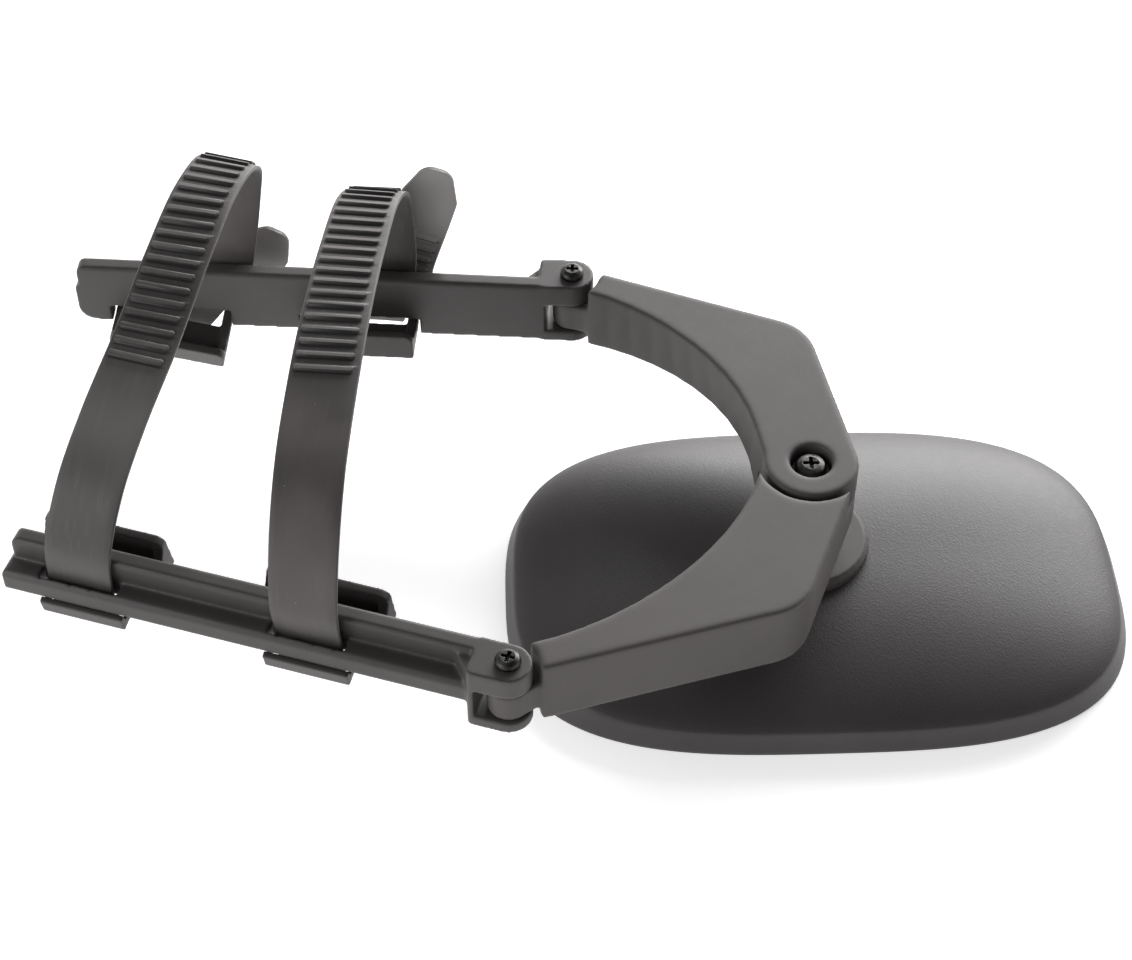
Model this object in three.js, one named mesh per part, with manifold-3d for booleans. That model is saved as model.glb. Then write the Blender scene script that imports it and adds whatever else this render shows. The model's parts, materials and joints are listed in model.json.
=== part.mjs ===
// Strap-on extension mirror: a ball-jointed mirror head carried by two elbow arms, whose
// hinged gripping rails are strapped round a car's own door mirror.
// Millimetres. The origin is the middle of the mirror glass's front face, which faces down;
// +Z runs up the ball stud and the arm pivot. The arms and rails reach out towards -X.
import * as THREE from 'three';
import { mergeVertices } from 'three/addons/utils/BufferGeometryUtils.js';
import Module from 'manifold-3d';

const wasm = await Module();
wasm.setup();

// ---- driving dimensions ------------------------------------------------------------------

const GAP = 0.3;                      // clearance between pieces that touch

const HEAD = { length: 190, width: 124, squareness: 3.07, rim: -1.2, shoulder: 7.0, crown: 19.2, wall: 2.6 };
const HEAD_OFFSET = { x: 4.2, y: -2.6, yaw: 1.9 };   // the head's middle seen from the ball, and its turn
const GLASS = { thickness: 3.0, pad: 1.2, margin: 4.6 };

const BALL = { radius: 7.5, z: 14.6, liner: 1.2 };
const RING = { radius: 20, skirt: 14.6, seat: 18.0, top: 22.6, mouth: 6.6 };
const RETAINER = { radius: 18, z0: 8.2, z1: 11.0, screwCircle: 27.5, screws: 4 };

const ARM = { top: 55.8, bottom: 32.8, lugRadius: 14, elbow: [41, 39.2], shoulder: 9.4, draft: 3 };
const LUG = { split: 44.0, clear: 15.6, counterbore: 6.25, counterboreFloor: 49.8 };
const ARM_A = { length: 106.1, angle: 131.2, side: -1 };
const ARM_B = { length: 115.3, angle: 220.6, side: 1 };

const CLEVIS = {
  radius: 6.7, inner: 6.6, outer: -6.9, back: 10.4, corner: 1.6,
  slotTop: 47.8, slotBottom: 36.8, slotEnd: 8.2,
};
const SCREW = { shank: 2.0, head: 3.7, headHeight: 2.3, bore: 2.4 };
const NUT = { radius: 4.0, height: 2.4, pocket: 4.4 };

const RAIL = {
  bottom: 33.3, gripFace: 6.6, flangeBack: 1.1, lip: -5.2, step: 47.8, under: 40.4,
  windowHalf: 19.3, flangeShort: 1.2, lowCorner: 5.5, topCorner: 3,
};
// How a clip sits in its window: hook side rolled up, far end tilted up, the whole clip dropped
// and moved out from the other rail.
const SEATED = { roll: 13, tilt: 0, drop: 0, out: 0 };
const LEVEL = { roll: 2, tilt: 0, drop: 0.8, out: 0 };
const HANGING = { roll: -22, tilt: -12, drop: 2.4, out: 4.2 };
// Along a rail: the middle of each clip and its window, and the middle and half length of the
// strap's slot over it.
const RAIL_A = {
  angle: 176.4, side: 1, end: 158.3, windowHeight: 6.2,
  clip: { barHalf: 16.2, slotHalf: 15.2, hookHeight: 9.0 },
  clips: [
    { u: 67.6, slot: 60.4, slotHalf: 11.5, pose: LEVEL },
    { u: 128.4, slot: 115.8, slotHalf: 14.6, pose: HANGING },
  ],
};
const RAIL_B = {
  angle: 163.0, side: -1, end: 150.5, windowHeight: 8.6,
  clip: { barHalf: 12.8, slotHalf: 11.7, hookHeight: 15 },
  clips: [
    { u: 58.2, slot: 58.2, slotHalf: 11.5, pose: SEATED },
    { u: 126.6, slot: 127.4, slotHalf: 12.0, pose: SEATED },
  ],
};
const STRAP = { width: 20, topWidth: 17.8, tipWidth: 9, tipLength: 11, thickness: 2.4, v: -1.4, slot: 4.2 };

const CLIP = {
  barThickness: 2, barTop: 4, hookLength: 37, floor: 3.4, slotWidth: 10.2,
  sideHeight: 2.8, reach: 22.2, hookWall: 2.8, barV: -2.8, barZ: 36.3,
};

// Where each strap runs: from clip B (u along rail B) over the free arch, given as
// [x, y, z, heading of the strap's width], down through rail A's slot (u at the top of the
// slot, drifting by slope as it goes down), round under clip A at turnZ, and up as a loose tail.
const STRAPS = {
  strap_1: {
    nearU: 127.6, farU: 113, slope: 0.75, turnZ: 20, tailV: -12.9,
    arch: [
      [-209.4, -37.4, 57.8, -17], [-205.1, -27, 73.5, -18], [-199.4, -10.9, 83.7, -19], [-191.8, 13, 92, -17],
      [-185.2, 37.4, 99.6, -19], [-179.2, 62.6, 103.4, -21], [-175, 80, 100.8, -20], [-173.8, 90.6, 92, -15],
      [-175.4, 93.4, 80, -9], [-178.4, 90.6, 62, -5],
    ],
    tail: [[-183, 99.4, 33, -4], [-171.6, 97, 46.4, -4], [-164, 95.8, 59.6, -4]],
  },
  strap_2: {
    nearU: 58.2, farU: 59.6, slope: 0.24, turnZ: 31, tailV: -8.2,
    arch: [
      [-144.1, -60, 58.3, -17], [-143.4, -53, 74, -16], [-141.9, -35.4, 88.4, -14], [-139.6, -9.6, 95.9, -11],
      [-137.1, 17.1, 99.1, -9], [-134.3, 44, 98.9, -7], [-131.2, 70.6, 95.1, -5], [-128.9, 84, 86, -4],
      [-128, 86, 72, -4], [-127.8, 85.3, 58, -4],
    ],
    tail: [[-126.6, 91.7, 38, -4], [-122, 91.7, 53, -4], [-116.6, 91.4, 70, -4], [-111.2, 92, 88, -4]],
  },
};

// ---- materials ---------------------------------------------------------------------------

const material = (color, roughness, metalness) =>
  new THREE.MeshStandardMaterial({ color, roughness, metalness });
const SHELL_PLASTIC = material(0x4a4848, 0.55, 0);
const ARM_PLASTIC = material(0x5b5858, 0.5, 0);
const RAIL_PLASTIC = material(0x565352, 0.5, 0);
const STRAP_RUBBER = material(0x4d4b49, 0.7, 0);
const NYLON = material(0xd8d4c8, 0.5, 0);
const FOAM = material(0x26262a, 0.9, 0);
const ZINC = material(0x55524f, 0.35, 1);
const STEEL = material(0xb9bcc0, 0.25, 1);
const MIRROR = material(0xe8ecef, 0.03, 1);

// ---- solids: three.js geometry in, joined or cut geometry out ------------------------------

function solid(geometry) {
  const bare = geometry.clone();
  bare.deleteAttribute('normal');
  bare.deleteAttribute('uv');
  const merged = mergeVertices(bare, 1e-4);
  const triVerts = new Uint32Array(merged.index.array);
  const vertProperties = new Float32Array(merged.attributes.position.array);
  return new wasm.Manifold(new wasm.Mesh({ numProp: 3, vertProperties, triVerts }));
}

function geometryOf(body) {
  const { vertProperties, triVerts, numProp } = body.getMesh();
  const positions = new Float32Array((vertProperties.length / numProp) * 3);
  for (let i = 0; i < positions.length / 3; i++) {
    for (let k = 0; k < 3; k++) positions[3 * i + k] = vertProperties[numProp * i + k];
  }
  const geometry = new THREE.BufferGeometry();
  geometry.setAttribute('position', new THREE.BufferAttribute(positions, 3));
  geometry.setIndex(new THREE.BufferAttribute(new Uint32Array(triVerts), 1));
  geometry.computeVertexNormals();
  return geometry;
}

const union = (bodies) => bodies.reduce((a, b) => a.add(b));
const cut = (body, tools) => tools.reduce((a, b) => a.subtract(b), body);

// A shape in the XY plane raised from z0 to z1.
function prism(shape, z0, z1, curveSegments = 16) {
  const geometry = new THREE.ExtrudeGeometry(shape, { depth: z1 - z0, bevelEnabled: false, curveSegments });
  return solid(geometry.translate(0, 0, z0));
}

function polygon(points) {
  return new THREE.Shape(points.map(([x, y]) => new THREE.Vector2(x, y)));
}

function roundedRectangle(x0, x1, y0, y1, radius) {
  const shape = new THREE.Shape();
  shape.moveTo(x0 + radius, y0);
  shape.lineTo(x1 - radius, y0);
  shape.absarc(x1 - radius, y0 + radius, radius, -Math.PI / 2, 0);
  shape.absarc(x1 - radius, y1 - radius, radius, 0, Math.PI / 2);
  shape.absarc(x0 + radius, y1 - radius, radius, Math.PI / 2, Math.PI);
  shape.absarc(x0 + radius, y0 + radius, radius, Math.PI, Math.PI * 1.5);
  return shape;
}

function box(x0, x1, y0, y1, z0, z1) {
  const geometry = new THREE.BoxGeometry(x1 - x0, y1 - y0, z1 - z0);
  return solid(geometry.translate((x0 + x1) / 2, (y0 + y1) / 2, (z0 + z1) / 2));
}

function cylinder(radius, z0, z1, x = 0, y = 0, segments = 24) {
  const geometry = new THREE.CylinderGeometry(radius, radius, z1 - z0, segments);
  return solid(geometry.rotateX(Math.PI / 2).translate(x, y, (z0 + z1) / 2));
}

// A profile of [radius, z] points turned about the Z axis, in the order that faces it outwards.
function lathe(profile, segments) {
  const points = profile.map(([r, z]) => new THREE.Vector2(r, z));
  if (THREE.ShapeUtils.area(points) < 0) points.reverse();
  return new THREE.LatheGeometry(points, segments).rotateX(Math.PI / 2);
}

const turned = (profile, segments = 24) => solid(lathe(profile, segments));

function sphere(radius, z, segments = 24) {
  const geometry = new THREE.SphereGeometry(radius, segments, segments / 2).rotateX(Math.PI / 2);
  return solid(geometry.translate(0, 0, z));
}

// ---- mirror head -------------------------------------------------------------------------

// A turned profile whose circle is squeezed into the head's rounded-rectangle outline:
// radius 1 in the profile is the outline itself.
function headLoft(profile, segments = 56) {
  const geometry = lathe(profile, segments);
  const position = geometry.attributes.position;
  const square = (value) => Math.sign(value) * Math.abs(value) ** (2 / HEAD.squareness);
  for (let i = 0; i < position.count; i++) {
    const radius = Math.hypot(position.getX(i), position.getY(i));
    const angle = Math.atan2(position.getY(i), position.getX(i));
    const x = (HEAD.length / 2) * radius * square(Math.cos(angle));
    const y = (HEAD.width / 2) * radius * square(Math.sin(angle));
    position.setXY(i, x, y);
  }
  geometry.rotateZ(THREE.MathUtils.degToRad(HEAD_OFFSET.yaw));
  return solid(geometry.translate(HEAD_OFFSET.x, HEAD_OFFSET.y, 0));
}

// Height of the domed back over the glass plane, and the same surface one wall further in.
function backProfile(inset) {
  const edge = 1 - inset / (HEAD.width / 2);
  const profile = [];
  for (const t of [0, 0.35, 0.6, 0.78, 0.9, 0.97]) {
    const rise = (HEAD.crown - HEAD.shoulder) * (1 - t ** 2.4) ** 0.75;
    profile.push([t * edge, HEAD.shoulder + rise - inset]);
  }
  profile.push([edge, HEAD.shoulder - inset]);
  return profile;
}

const shellEdge = 1 - HEAD.wall / (HEAD.width / 2);
const retainerPosts = Array.from({ length: RETAINER.screws }, (_, i) => {
  const angle = Math.PI / 4 + (i * Math.PI * 2) / RETAINER.screws;
  return [RETAINER.screwCircle * Math.cos(angle), RETAINER.screwCircle * Math.sin(angle)];
});

function makeHeadShell() {
  const outside = [...backProfile(0), [1, HEAD.rim]];
  const inside = [[shellEdge, HEAD.rim], ...backProfile(HEAD.wall).reverse()];
  const posts = retainerPosts.map(([x, y]) => cylinder(3.6, RETAINER.z1 + GAP, HEAD.crown - 1.6, x, y, 20));
  const pilots = retainerPosts.map(([x, y]) => cylinder(1.5, RETAINER.z1, HEAD.crown - 3.2, x, y, 16));
  const ringSeat = cylinder(RING.radius + GAP, RING.seat, HEAD.crown + 4, 0, 0, 40);
  const ringBoss = cylinder(RING.radius + 3, HEAD.crown - 5.5, HEAD.crown - 0.8, 0, 0, 40);
  const socketHole = cylinder(RING.skirt + GAP, RETAINER.z0, HEAD.crown + 4, 0, 0, 48);
  const shell = union([headLoft([...outside, ...inside]), ringBoss, ...posts]);
  return cut(shell, [ringSeat, socketHole, ...pilots]);
}

function makeGlassPlate(z0, z1, margin) {
  const edge = 1 - margin / (HEAD.width / 2);
  return headLoft([[0, z1], [edge, z1], [edge, z0], [0, z0]], 64);
}

// ---- ball joint: every seat is a sphere about the ball's centre -----------------------------

const linerInside = BALL.radius + GAP;
const linerOutside = linerInside + BALL.liner;
const seatRadius = linerOutside + GAP;

// Points of a circle about the ball's centre, from one latitude to another.
function ballArc(radius, from, to, steps = 5) {
  return Array.from({ length: steps + 1 }, (_, i) => {
    const latitude = THREE.MathUtils.degToRad(from + ((to - from) * i) / steps);
    return [radius * Math.cos(latitude), BALL.z + radius * Math.sin(latitude)];
  });
}

function makeLiner(from, to) {
  const outside = ballArc(linerOutside, from, to);
  const inside = ballArc(linerInside, to, from);
  return turned([...outside, ...inside, outside[0]]);
}

function makeSocketRing() {
  const bottom = BALL.z + 0.2;
  const profile = [
    [RING.skirt, bottom], [RING.skirt, RING.seat + GAP], [RING.radius, RING.seat + GAP],
    [RING.radius, RING.top - 1.4], [RING.radius - 1.4, RING.top], [RING.mouth + 0.6, RING.top],
    ...ballArc(seatRadius, 45, 2), [seatRadius, bottom], [RING.skirt, bottom],
  ];
  return turned(profile, 36);
}

function makeRetainer() {
  const dish = ballArc(seatRadius, -24, -78);
  const dishFloor = BALL.z - seatRadius - 1.2;
  const plate = turned([
    [dish[0][0], RETAINER.z1], ...dish, [dish[dish.length - 1][0], dishFloor], [4.4, dishFloor],
    [10.6, RETAINER.z0], [RETAINER.radius, RETAINER.z0], [RETAINER.radius, RETAINER.z1],
    [dish[0][0], RETAINER.z1],
  ], 24);
  const ears = retainerPosts.map(([x, y]) => cylinder(4.6, RETAINER.z0, RETAINER.z1, x, y, 24));
  const arms = retainerPosts.map(([x, y]) => {
    const arm = new THREE.BoxGeometry(RETAINER.screwCircle - 12, 7, RETAINER.z1 - RETAINER.z0);
    arm.translate((RETAINER.screwCircle + 12) / 2, 0, (RETAINER.z0 + RETAINER.z1) / 2);
    return solid(arm.rotateZ(Math.atan2(y, x)));
  });
  const holes = retainerPosts.map(([x, y]) => cylinder(1.8, RETAINER.z0 - 1, RETAINER.z1 + 1, x, y, 16));
  return cut(union([plate, ...ears, ...arms]), holes);
}

function makeRetainerScrew() {
  const head = cylinder(3.0, RETAINER.z0 - GAP - 1.8, RETAINER.z0 - GAP, 0, 0, 20);
  const shank = cylinder(1.2, RETAINER.z0 - GAP - 1, HEAD.crown - 4.2, 0, 0, 12);
  return head.add(shank);
}

function makeBallStud() {
  const collarTop = ARM.bottom - GAP;
  const stud = turned([
    [0, 20.5], [4.0, 20.5], [4.0, collarTop - 3.4], [8.2, collarTop - 2.6], [8.2, collarTop],
    [4.4, collarTop], [4.4, LUG.split - 2.2], [3.7, LUG.split - 1.5], [0, LUG.split - 1.5],
  ], 32);
  const socket = cylinder(2.8, ARM.bottom - 1, LUG.split, 0, 0, 24);
  return sphere(BALL.radius, BALL.z).add(stud).subtract(socket);
}

// ---- arms --------------------------------------------------------------------------------

// Seen from above, in the arm's own frame: the pivot at the origin, the rail's hinge pin on +X
// and the elbow bulging to +Y. side = -1 mirrors it for the other arm. The hollow side of the
// outline moves in by the draft.
function armOutline(length, draft) {
  const [elbowX, elbowY] = ARM.elbow;
  const tangent = THREE.MathUtils.degToRad(119.4);
  const r = ARM.lugRadius;
  const shape = new THREE.Shape();
  shape.moveTo(r * Math.cos(tangent), r * Math.sin(tangent));
  shape.lineTo(elbowX - 8.5, elbowY - 4.8);
  shape.quadraticCurveTo(elbowX, elbowY, elbowX + 8.5, elbowY - 4.7);
  shape.lineTo(length - 5.6, 7.8);
  shape.lineTo(length - 9, -1.8);
  shape.bezierCurveTo(length - 30, 8.4 + draft, length * 0.42, 11.6 + 2 * draft, 20 - draft / 3, -3.4);
  shape.quadraticCurveTo(14.4, -6.8, r * Math.cos(-0.7), r * Math.sin(-0.7));
  shape.absarc(0, 0, r, -0.7, tangent, true);
  return shape;
}

// The arm's solid bar: its outline at the top, and the drafted outline at the bottom.
function armBar(length) {
  const top = armOutline(length, 0);
  const curveSegments = 10;
  const topPoints = top.extractPoints(curveSegments).shape;
  const bottomPoints = armOutline(length, ARM.draft).extractPoints(curveSegments).shape;
  const depth = ARM.top - ARM.bottom;
  const geometry = new THREE.ExtrudeGeometry(top, { depth, bevelEnabled: false, curveSegments });
  const position = geometry.attributes.position;
  for (let i = 0; i < position.count; i++) {
    const at = new THREE.Vector2(position.getX(i), position.getY(i));
    const match = topPoints.findIndex((point) => point.distanceTo(at) < 1e-3);
    if (position.getZ(i) < depth / 2) position.setXY(i, bottomPoints[match].x, bottomPoints[match].y);
  }
  return solid(geometry.translate(0, 0, ARM.bottom));
}

function mirrorY(body, side) {
  return side > 0 ? body : body.mirror([0, 1, 0]);
}

function makeArm({ length, side }, lugIsUpper) {
  const body = armBar(length);
  const tongueTop = CLEVIS.slotTop - GAP;
  const tongueBottom = CLEVIS.slotBottom + GAP;
  const tongue = polygon([
    [length - 14, 1.5], [length - 14, 7], [length - 2, 6.3], [length, 0], [length - 3, -5],
  ]);
  const shoulder = cylinder(ARM.shoulder - 1, ARM.bottom - 1, ARM.top + 1, length, 0, 32);
  const halfCut = lugIsUpper
    ? cylinder(LUG.clear, ARM.bottom - 1, LUG.split, 0, 0, 40)
    : cylinder(LUG.clear, LUG.split - 0.4, ARM.top + 1, 0, 0, 40);
  const lug = lugIsUpper
    ? cylinder(ARM.lugRadius, LUG.split, ARM.top, 0, 0, 36)
    : cylinder(ARM.lugRadius, ARM.bottom, LUG.split - 0.4, 0, 0, 36);
  const arm = union([
    body.subtract(shoulder).subtract(halfCut),
    lug,
    prism(tongue, tongueBottom, tongueTop),
    cylinder(6.2, tongueBottom, tongueTop, length, 0, 32),
  ]);
  const pinBore = cylinder(SCREW.bore, ARM.bottom, ARM.top, length, 0, 24);
  const pivotBore = cylinder(lugIsUpper ? 3.1 : 4.7, ARM.bottom - 1, ARM.top + 1, 0, 0, 32);
  const recess = lugIsUpper
    ? cylinder(LUG.counterbore, LUG.counterboreFloor, ARM.top + 1, 0, 0, 40)
    : cylinder(8.4, LUG.split - 1.6, LUG.split + 1, 0, 0, 40);
  return mirrorY(cut(arm, [pinBore, pivotBore, recess]), side);
}

function makeWasher(inner, outer, z0, z1) {
  return cylinder(outer, z0, z1, 0, 0, 32).subtract(cylinder(inner, z0 - 1, z1 + 1, 0, 0, 32));
}

// ---- hinge screws ------------------------------------------------------------------------

function crossRecess(size, depth, top) {
  const bar = box(-size, size, -0.5, 0.5, top - depth, top + 1);
  return bar.add(box(-0.5, 0.5, -size, size, top - depth, top + 1));
}

function makePivotScrew() {
  const seat = LUG.counterboreFloor + GAP + 1.2 + GAP;
  const top = seat + 3.0;
  const profile = [[0, seat], [4.7, seat], [4.7, seat + 1.5], [4.1, top - 0.5], [2.6, top], [0, top]];
  const shank = cylinder(2.4, ARM.bottom + 1, seat + 0.5, 0, 0, 24);
  return turned(profile, 32).add(shank).subtract(crossRecess(2.3, 1.6, top));
}

function makeClevisScrew() {
  const seat = ARM.top + GAP;
  const top = seat + SCREW.headHeight;
  const profile = [
    [0, seat], [SCREW.head, seat], [SCREW.head, seat + 0.8], [3.2, top - 0.6], [2.2, top], [0, top],
  ];
  const shank = cylinder(SCREW.shank, ARM.bottom + 0.4, seat + 0.4, 0, 0, 20);
  return turned(profile, 28).add(shank).subtract(crossRecess(1.9, 1.2, top));
}

function makeClevisNut() {
  const bottom = ARM.bottom + 0.2;
  const nut = cylinder(NUT.radius, bottom, bottom + NUT.height, 0, 0, 6);
  return nut.subtract(cylinder(SCREW.shank + GAP, bottom - 1, bottom + NUT.height + 1, 0, 0, 20));
}

// ---- rails: local +X runs from the hinge pin along the rail, +Y towards the other rail -------

function alongRail(shape, x0, x1) {
  const geometry = new THREE.ExtrudeGeometry(shape, { depth: x1 - x0, bevelEnabled: false });
  geometry.applyMatrix4(new THREE.Matrix4().makeBasis(
    new THREE.Vector3(0, 1, 0), new THREE.Vector3(0, 0, 1), new THREE.Vector3(1, 0, 0)));
  return solid(geometry.translate(x0, 0, 0));
}

// The rail's outline seen from the side: its far end is rounded off, more below than above.
function railSideView(end) {
  const { bottom, step, lowCorner, topCorner, flangeShort } = RAIL;
  const flangeEnd = end - flangeShort;
  const shape = new THREE.Shape();
  shape.moveTo(-20, ARM.bottom - 1);
  shape.lineTo(end - lowCorner - 2, ARM.bottom - 1);
  shape.lineTo(end - lowCorner - 1, bottom);
  shape.absarc(end - lowCorner, bottom + lowCorner, lowCorner, -Math.PI / 2, 0);
  shape.lineTo(end, step - 1);
  shape.lineTo(end - 1, step);
  shape.lineTo(flangeEnd, step);
  shape.absarc(flangeEnd - topCorner, ARM.top - topCorner, topCorner, 0, Math.PI / 2);
  shape.lineTo(-20, ARM.top);
  const options = { depth: 40, bevelEnabled: false, curveSegments: 8 };
  return solid(new THREE.ExtrudeGeometry(shape, options).rotateX(Math.PI / 2).translate(0, 20, 0));
}

function makeRail({ side, end, windowHeight, clips }) {
  const { gripFace, flangeBack, lip, step, under, bottom } = RAIL;
  const profile = polygon([
    [gripFace, bottom], [gripFace, ARM.top - 0.8], [gripFace - 0.8, ARM.top], [flangeBack + 0.8, ARM.top],
    [flangeBack, ARM.top - 0.8], [flangeBack, step], [lip + 1.4, step], [lip, step - 1.4],
    [lip, under + 0.6], [lip + 0.6, under], [flangeBack, under], [flangeBack, bottom],
  ]);
  const bar = alongRail(profile, CLEVIS.back - 1, end);
  const { radius, back, outer, inner, corner } = CLEVIS;
  const block = prism(roundedRectangle(-radius, back, outer, inner, corner), ARM.bottom, ARM.top);
  const ears = cylinder(6.75, ARM.bottom, ARM.top, 0, -0.15, 40);
  const blockFront = box(0, back + 1, outer - 1, inner + 1, ARM.bottom, ARM.top);
  const gussetShape = polygon([[back - 1, outer + 1], [back - 1, 2], [back + 6, 2]]);
  const gusset = prism(gussetShape, step - 1, ARM.top - 2);
  const slot = prism(roundedRectangle(-20, CLEVIS.slotEnd, -20, 20, 1), CLEVIS.slotBottom, CLEVIS.slotTop);
  const pinBore = cylinder(SCREW.bore, ARM.bottom - 1, ARM.top + 1, 0, 0, 24);
  const nutPocket = cylinder(NUT.pocket, ARM.bottom - 1, ARM.bottom + NUT.height + 0.4, 0, 0, 6);
  const windowTop = bottom + windowHeight;
  const windows = clips.map(({ u }) => box(
    u - RAIL.windowHalf, u + RAIL.windowHalf, flangeBack - 1, gripFace + 1, bottom - 1, windowTop));
  const slotFrom = STRAP.v - STRAP.slot / 2;
  const slotTo = STRAP.v + STRAP.slot / 2;
  const strapSlots = clips.map((clip) => box(
    clip.slot - clip.slotHalf, clip.slot + clip.slotHalf, slotFrom, slotTo, under - 1, step + 1));
  const rail = union([block.intersect(blockFront), ears, bar, gusset]).intersect(railSideView(end));
  return mirrorY(cut(rail, [slot, pinBore, nutPocket, ...windows, ...strapSlots]), side);
}

// ---- hook clips: local +X along the rail, +Y towards the other rail, origin on the bar -------

function makeClip({ side, clip: { barHalf, slotHalf, hookHeight } }) {
  const { hookLength, floor, slotWidth, hookWall, barThickness, barTop, sideHeight } = CLIP;
  const halfHook = hookLength / 2;
  const halfFloor = floor / 2;
  const slotEdge = -0.6;
  const outer = slotEdge - barThickness;
  const wallOut = CLIP.reach;
  const wallIn = wallOut - hookWall;
  const tray = prism(polygon([
    [-barHalf, outer], [barHalf, outer], [barHalf, 2], [halfHook, 5],
    [halfHook, wallOut], [-halfHook, wallOut], [-halfHook, 5], [-barHalf, 2],
  ]), -halfFloor, halfFloor);
  const bar = box(-barHalf, barHalf, outer, slotEdge, -halfFloor, barTop);
  const wallShape = roundedRectangle(-halfHook, halfHook, -halfFloor, hookHeight - halfFloor, 3);
  const wallOptions = { depth: hookWall, bevelEnabled: false, curveSegments: 6 };
  const wall = new THREE.ExtrudeGeometry(wallShape, wallOptions).rotateX(Math.PI / 2);
  const gussetTop = hookHeight - halfFloor - 3;
  const gusset = polygon([
    [4, 0], [wallOut - 1, 0], [wallOut - 1, gussetTop],
    [wallIn, gussetTop], [wallIn - 6, sideHeight], [4, sideHeight],
  ]);
  const gussets = [-1, 1].map((end) => {
    const x = end * (halfHook - 1.5);
    return alongRail(gusset, x - 1.5, x + 1.5);
  });
  const strapSlot = box(-slotHalf, slotHalf, slotEdge, slotEdge + slotWidth, -halfFloor - 1, barTop + 1);
  const body = union([tray, bar, solid(wall.translate(0, wallOut, 0)), ...gussets]);
  return mirrorY(body.subtract(strapSlot), side);
}

// ---- straps: a flat strip bent along its route -----------------------------------------------

// Stations are the centre line's points, each with the heading of the strip's width. The strip
// narrows over the first half of its route, and more sharply over the tail's tip.
function makeStrap(stations, segments) {
  const points = stations.map(([x, y, z]) => new THREE.Vector3(x, y, z));
  const route = new THREE.CatmullRomCurve3(points, false, 'centripetal');
  const headings = stations.map(([, , , degrees]) => THREE.MathUtils.degToRad(degrees));
  const end = route.getPoint(1);
  const geometry = new THREE.BoxGeometry(1, STRAP.thickness, 1, 1, 1, segments);
  const position = geometry.attributes.position;
  for (let i = 0; i < position.count; i++) {
    const t = position.getZ(i) + 0.5;
    const place = t * (stations.length - 1);
    const first = Math.min(Math.floor(place), stations.length - 2);
    const heading = THREE.MathUtils.lerp(headings[first], headings[first + 1], place - first);
    const point = route.getPoint(t);
    const tangent = route.getTangent(t);
    const across = new THREE.Vector3(Math.cos(heading), Math.sin(heading), 0);
    across.addScaledVector(tangent, -across.dot(tangent)).normalize();
    const normal = new THREE.Vector3().crossVectors(tangent, across);
    const body = THREE.MathUtils.lerp(STRAP.width, STRAP.topWidth, THREE.MathUtils.smoothstep(t, 0.2, 0.5));
    const nearTip = t > 0.8 ? point.distanceTo(end) / STRAP.tipLength : 1;
    const width = THREE.MathUtils.lerp(STRAP.tipWidth, body, Math.min(nearTip, 1));
    point.addScaledVector(across, position.getX(i) * width);
    point.addScaledVector(normal, position.getY(i));
    position.setXYZ(i, point.x, point.y, point.z);
  }
  return solid(geometry);
}

// ---- assembly ------------------------------------------------------------------------------

const assembly = new THREE.Group();

function place(name, body, look, parent = assembly) {
  const mesh = new THREE.Mesh(body.isBufferGeometry ? body : geometryOf(body), look);
  mesh.name = name;
  parent.add(mesh);
  return mesh;
}

function turnedGroup(parent, x, y, degrees) {
  const group = new THREE.Group();
  group.position.set(x, y, 0);
  group.rotation.z = THREE.MathUtils.degToRad(degrees);
  parent.add(group);
  return group;
}

// The hinge pin at the end of an arm, and a point given along (u) and across (v) its rail.
function pinOf({ length, angle }) {
  const radians = THREE.MathUtils.degToRad(angle);
  return [length * Math.cos(radians), length * Math.sin(radians)];
}

function onRail(arm, rail, u, v, z) {
  const [x, y] = pinOf(arm);
  const a = THREE.MathUtils.degToRad(rail.angle);
  const w = v * rail.side;
  return [x + u * Math.cos(a) - w * Math.sin(a), y + u * Math.sin(a) + w * Math.cos(a), z];
}

// Mirror head
place('head_shell', makeHeadShell(), SHELL_PLASTIC);
place('mirror_glass', makeGlassPlate(0, GLASS.thickness, GLASS.margin), MIRROR);
place('glass_pad', makeGlassPlate(GLASS.thickness + GAP, GLASS.thickness + GAP + GLASS.pad, GLASS.margin + 9)
  .subtract(cylinder(8, 0, 20, 0, 0, 32)), FOAM);
place('socket_ring', makeSocketRing(), ARM_PLASTIC);
place('ball_retainer', makeRetainer(), STEEL);
retainerPosts.forEach(([x, y], i) => {
  place(`retainer_screw_${i + 1}`, makeRetainerScrew().translate([x, y, 0]), ZINC);
});

// Ball joint
place('upper_ball_seat', makeLiner(4, 40), NYLON);
place('lower_ball_seat', makeLiner(-66, -4), NYLON);
place('ball_stud', makeBallStud(), STEEL);

// Arms, pivot and rails
const armA = turnedGroup(assembly, 0, 0, ARM_A.angle);
const armB = turnedGroup(assembly, 0, 0, ARM_B.angle);
place('arm_a', makeArm(ARM_A, true), ARM_PLASTIC, armA);
place('arm_b', makeArm(ARM_B, false), ARM_PLASTIC, armB);
place('pivot_screw', makePivotScrew(), ZINC);
const washerSeat = LUG.counterboreFloor + GAP;
place('pivot_washer', makeWasher(2.8, 5.6, washerSeat, washerSeat + 1.2), ZINC);
place('friction_washer', makeWasher(5.0, 8.0, LUG.split - 1.3, LUG.split - 0.3), NYLON);

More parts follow.
